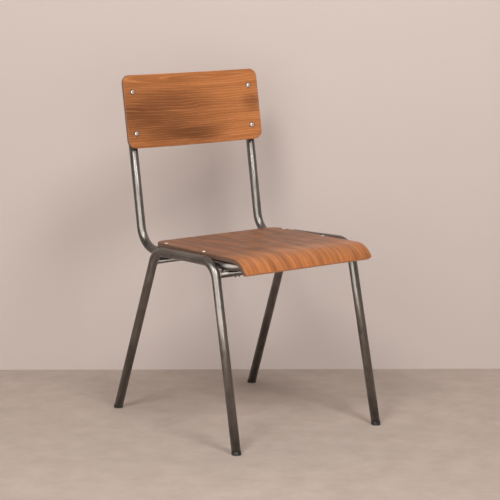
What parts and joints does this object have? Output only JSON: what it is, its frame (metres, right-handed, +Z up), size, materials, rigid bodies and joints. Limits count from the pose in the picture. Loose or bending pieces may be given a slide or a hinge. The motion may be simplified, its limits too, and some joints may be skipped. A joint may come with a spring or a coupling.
{
  "type": "stacking chair",
  "caption": "Stacking chair with bent steel tube frames, a plywood seat with a rolled front edge and a curved plywood backrest, held by blind rivets.",
  "frame": {"origin": "on the floor, in the middle of the footprint", "axes": "+Z up, -Y the way the sitter faces, +X the sitter's left"},
  "size_m": [0.426, 0.5152, 0.8089],
  "materials": {
    "steel": "clear lacquered raw steel tube, drawn and slightly mottled",
    "veneer": "satin lacquered reddish brown veneer over plywood",
    "rivet": "bright aluminium",
    "mandrel": "dull broken steel",
    "plastic": "satin black"
  },
  "bodies": {
    "root": {"seat_back_frame": "steel", "leg_frame_left": "steel", "leg_frame_right": "steel", "front_cross_tube": "steel", "rear_cross_tube": "steel", "seat_panel": "veneer", "backrest_panel": "veneer", "seat_rivet_left_front": "rivet", "seat_rivet_left_front_mandrel": "mandrel", "seat_rivet_left_rear": "rivet", "seat_rivet_left_rear_mandrel": "mandrel", "back_rivet_left_lower": "rivet", "back_rivet_left_lower_mandrel": "mandrel", "back_rivet_left_upper": "rivet", "back_rivet_left_upper_mandrel": "mandrel", "seat_rivet_right_front": "rivet", "seat_rivet_right_front_mandrel": "mandrel", "seat_rivet_right_rear": "rivet", "seat_rivet_right_rear_mandrel": "mandrel", "back_rivet_right_lower": "rivet", "back_rivet_right_lower_mandrel": "mandrel", "back_rivet_right_upper": "rivet", "back_rivet_right_upper_mandrel": "mandrel", "foot_plug_left_front": "plastic", "foot_plug_left_rear": "plastic", "foot_plug_right_front": "plastic", "foot_plug_right_rear": "plastic", "upright_plug_left": "plastic", "upright_plug_right": "plastic", "stacking_stud_left_inner": "plastic", "stacking_stud_left_outer": "plastic", "stacking_stud_right_inner": "plastic", "stacking_stud_right_outer": "plastic"}
  },
  "joints": []
}
